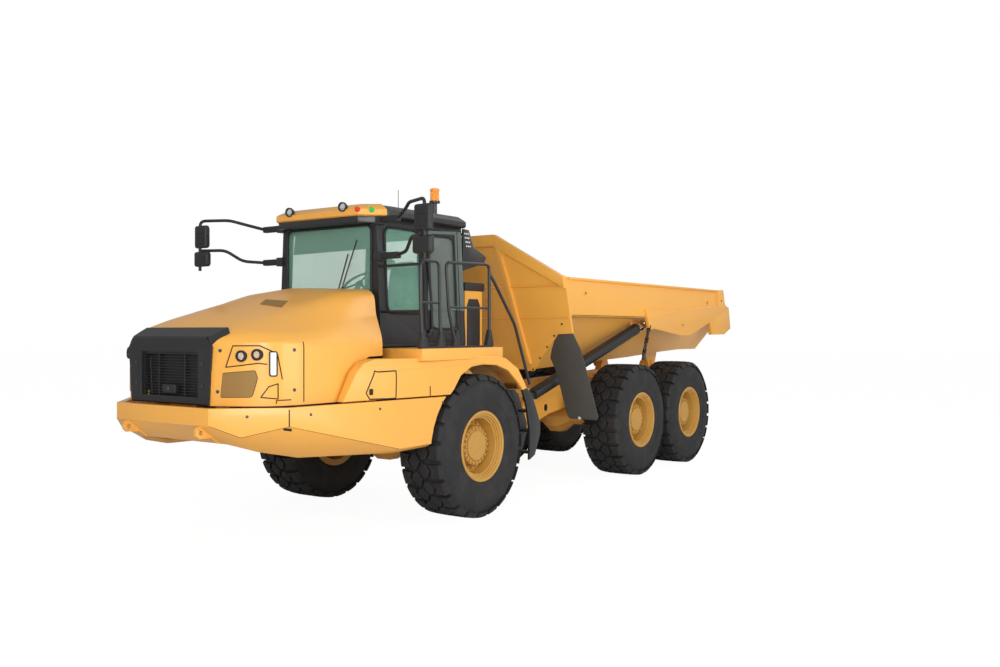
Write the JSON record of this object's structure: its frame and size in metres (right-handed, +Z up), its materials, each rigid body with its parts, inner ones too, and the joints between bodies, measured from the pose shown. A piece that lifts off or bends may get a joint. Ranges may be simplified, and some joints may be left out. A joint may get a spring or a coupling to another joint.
{
  "type": "articulated dump truck",
  "caption": "Hauler in two halves hinged at an upright pin: tractor with cab, tilting hood and front axle; rear frame with tandem axles and a tipping body.",
  "frame": {"origin": "on the ground, under the middle of the whole truck's box", "axes": "+Z up, -Y the way the truck drives, +X the vehicle's left"},
  "size_m": [3.68, 10.557, 3.84],
  "materials": {
    "yellow_paint": "satin gloss",
    "black_paint": "satin",
    "dark_steel": "cast",
    "chrome_rod": "polished",
    "tyre_rubber": "matt",
    "rubber_sheet": "matt",
    "tinted_glass": "tinted",
    "seat_cloth": "woven",
    "amber_lens": "glossy"
  },
  "bodies": {
    "tractor": {"front_frame": "yellow_paint", "front_bumper": "yellow_paint", "fender_left": "yellow_paint", "fender_right": "yellow_paint", "engine": "dark_steel", "front_axle": "yellow_paint", "cab_shell": "black_paint", "cab_floor": "black_paint", "cab_rear_guard": "black_paint", "cab_roof": "yellow_paint", "windscreen": "tinted_glass", "rear_window": "tinted_glass", "side_window_left": "tinted_glass", "side_window_right": "tinted_glass", "operator_seat": "seat_cloth", "steering_console": "black_paint", "beacon": "amber_lens", "mirror_left": "black_paint", "mirror_right": "black_paint", "handrails_left": "black_paint", "ladder_left": "black_paint", "intake_stack": "yellow_paint"},
    "hood_lid": {"hood": "yellow_paint", "grille": "black_paint"},
    "door_leaf": {"cab_door": "black_paint", "door_glass": "tinted_glass"},
    "hitch_block": {"hitch": "dark_steel"},
    "rear_chassis": {"rear_frame": "yellow_paint", "mid_axle": "yellow_paint", "rear_axle": "yellow_paint", "walking_beam_left": "yellow_paint", "walking_beam_right": "yellow_paint"},
    "tipping_body": {"dump_body": "yellow_paint", "body_mudflap_left": "rubber_sheet", "body_mudflap_right": "rubber_sheet"},
    "hoist_cylinder_left": {"hoist_barrel_left": "black_paint"},
    "hoist_piston_left": {"hoist_rod_left": "chrome_rod"},
    "hoist_cylinder_right": {"hoist_barrel_right": "black_paint"},
    "hoist_piston_right": {"hoist_rod_right": "chrome_rod"},
    "steer_cylinder_left": {"steering_barrel_left": "black_paint"},
    "steer_piston_left": {"steering_rod_left": "chrome_rod"},
    "steer_cylinder_right": {"steering_barrel_right": "black_paint"},
    "steer_piston_right": {"steering_rod_right": "chrome_rod"},
    "wheel_front_left": {"tyre_front_left": "tyre_rubber", "rim_front_left": "yellow_paint"},
    "wheel_front_right": {"tyre_front_right": "tyre_rubber", "rim_front_right": "yellow_paint"},
    "wheel_mid_left": {"tyre_mid_left": "tyre_rubber", "rim_mid_left": "yellow_paint"},
    "wheel_mid_right": {"tyre_mid_right": "tyre_rubber", "rim_mid_right": "yellow_paint"},
    "wheel_rear_left": {"tyre_rear_left": "tyre_rubber", "rim_rear_left": "yellow_paint"},
    "wheel_rear_right": {"tyre_rear_right": "tyre_rubber", "rim_rear_right": "yellow_paint"}
  },
  "joints": [
    {"name": "steer", "type": "hinge", "parent": "tractor", "child": "hitch_block", "pos_m": [0, -0.8785, 1.01], "axis": [0, 0, 1], "range_deg": [-45, 45]},
    {"name": "oscillation", "type": "hinge", "parent": "hitch_block", "child": "rear_chassis", "pos_m": [0, -0.6285, 1.01], "axis": [0, 1, 0], "range_deg": [-12, 12]},
    {"name": "body_tip", "type": "hinge", "parent": "rear_chassis", "child": "tipping_body", "pos_m": [0, 3.9715, 1.56], "axis": [-1, 0, 0], "range_deg": [0, 70]},
    {"name": "hood_tilt", "type": "hinge", "parent": "tractor", "child": "hood_lid", "pos_m": [0, -5.0285, 1.5], "axis": [1, 0, 0], "range_deg": [0, 60]},
    {"name": "cab_door_swing", "type": "hinge", "parent": "tractor", "child": "door_leaf", "pos_m": [0.83, -2.2885, 1.98], "axis": [0, 0, -1], "range_deg": [0, 50]},
    {"name": "hoist_swing_left", "type": "hinge", "parent": "rear_chassis", "child": "hoist_cylinder_left", "pos_m": [0.74, -0.1285, 1.22], "axis": [0.8183, -0.3778, 0.4332], "range_deg": [-0.5, 11.5]},
    {"name": "hoist_stroke_left", "type": "slide", "parent": "hoist_cylinder_left", "child": "hoist_piston_left", "axis": [0.2107, 0.8983, 0.3856], "range_m": [-0.005, 2.18]},
    {"name": "hoist_swing_right", "type": "hinge", "parent": "rear_chassis", "child": "hoist_cylinder_right", "pos_m": [-0.74, -0.1285, 1.22], "axis": [0.8183, 0.3778, -0.4332], "range_deg": [-0.5, 11.5]},
    {"name": "hoist_stroke_right", "type": "slide", "parent": "hoist_cylinder_right", "child": "hoist_piston_right", "axis": [-0.2107, 0.8983, 0.3856], "range_m": [-0.005, 2.18]},
    {"name": "steer_swing_left", "type": "hinge", "parent": "tractor", "child": "steer_cylinder_left", "pos_m": [0.54, -2.3785, 1.1], "axis": [0, 0, 1], "range_deg": [-0.94, 0.94]},
    {"name": "steer_stroke_left", "type": "slide", "parent": "steer_cylinder_left", "child": "steer_piston_left", "axis": [-0.0772, 0.997, 0], "range_m": [-0.305, 0.305]},
    {"name": "steer_swing_right", "type": "hinge", "parent": "tractor", "child": "steer_cylinder_right", "pos_m": [-0.54, -2.3785, 1.1], "axis": [0, 0, 1], "range_deg": [-0.94, 0.94]},
    {"name": "steer_stroke_right", "type": "slide", "parent": "steer_cylinder_right", "child": "steer_piston_right", "axis": [0.0772, 0.997, 0], "range_m": [-0.305, 0.305]},
    {"name": "wheel_front_left_spin", "type": "hinge", "parent": "tractor", "child": "wheel_front_left", "pos_m": [1.15, -2.0785, 0.808], "axis": [1, 0, 0], "continuous": true},
    {"name": "wheel_front_right_spin", "type": "hinge", "parent": "tractor", "child": "wheel_front_right", "pos_m": [-1.15, -2.0785, 0.808], "axis": [1, 0, 0], "continuous": true},
    {"name": "wheel_mid_left_spin", "type": "hinge", "parent": "rear_chassis", "child": "wheel_mid_left", "pos_m": [1.15, 1.8395, 0.808], "axis": [1, 0, 0], "continuous": true},
    {"name": "wheel_mid_right_spin", "type": "hinge", "parent": "rear_chassis", "child": "wheel_mid_right", "pos_m": [-1.15, 1.8395, 0.808], "axis": [1, 0, 0], "continuous": true},
    {"name": "wheel_rear_left_spin", "type": "hinge", "parent": "rear_chassis", "child": "wheel_rear_left", "pos_m": [1.15, 3.5045, 0.808], "axis": [1, 0, 0], "continuous": true},
    {"name": "wheel_rear_right_spin", "type": "hinge", "parent": "rear_chassis", "child": "wheel_rear_right", "pos_m": [-1.15, 3.5045, 0.808], "axis": [1, 0, 0], "continuous": true}
  ],
  "couplings": [
    {"joint": "hoist_swing_left", "follows": "body_tip", "ratio": 0.1638},
    {"joint": "hoist_stroke_left", "follows": "body_tip", "m_per_rad": 1.7092},
    {"joint": "hoist_swing_right", "follows": "body_tip", "ratio": 0.1638},
    {"joint": "hoist_stroke_right", "follows": "body_tip", "m_per_rad": 1.7092},
    {"joint": "steer_swing_left", "follows": "steer", "ratio": -0.0098},
    {"joint": "steer_stroke_left", "follows": "steer", "m_per_rad": 0.3805},
    {"joint": "steer_swing_right", "follows": "steer", "ratio": -0.0098},
    {"joint": "steer_stroke_right", "follows": "steer", "m_per_rad": -0.3805}
  ]
}
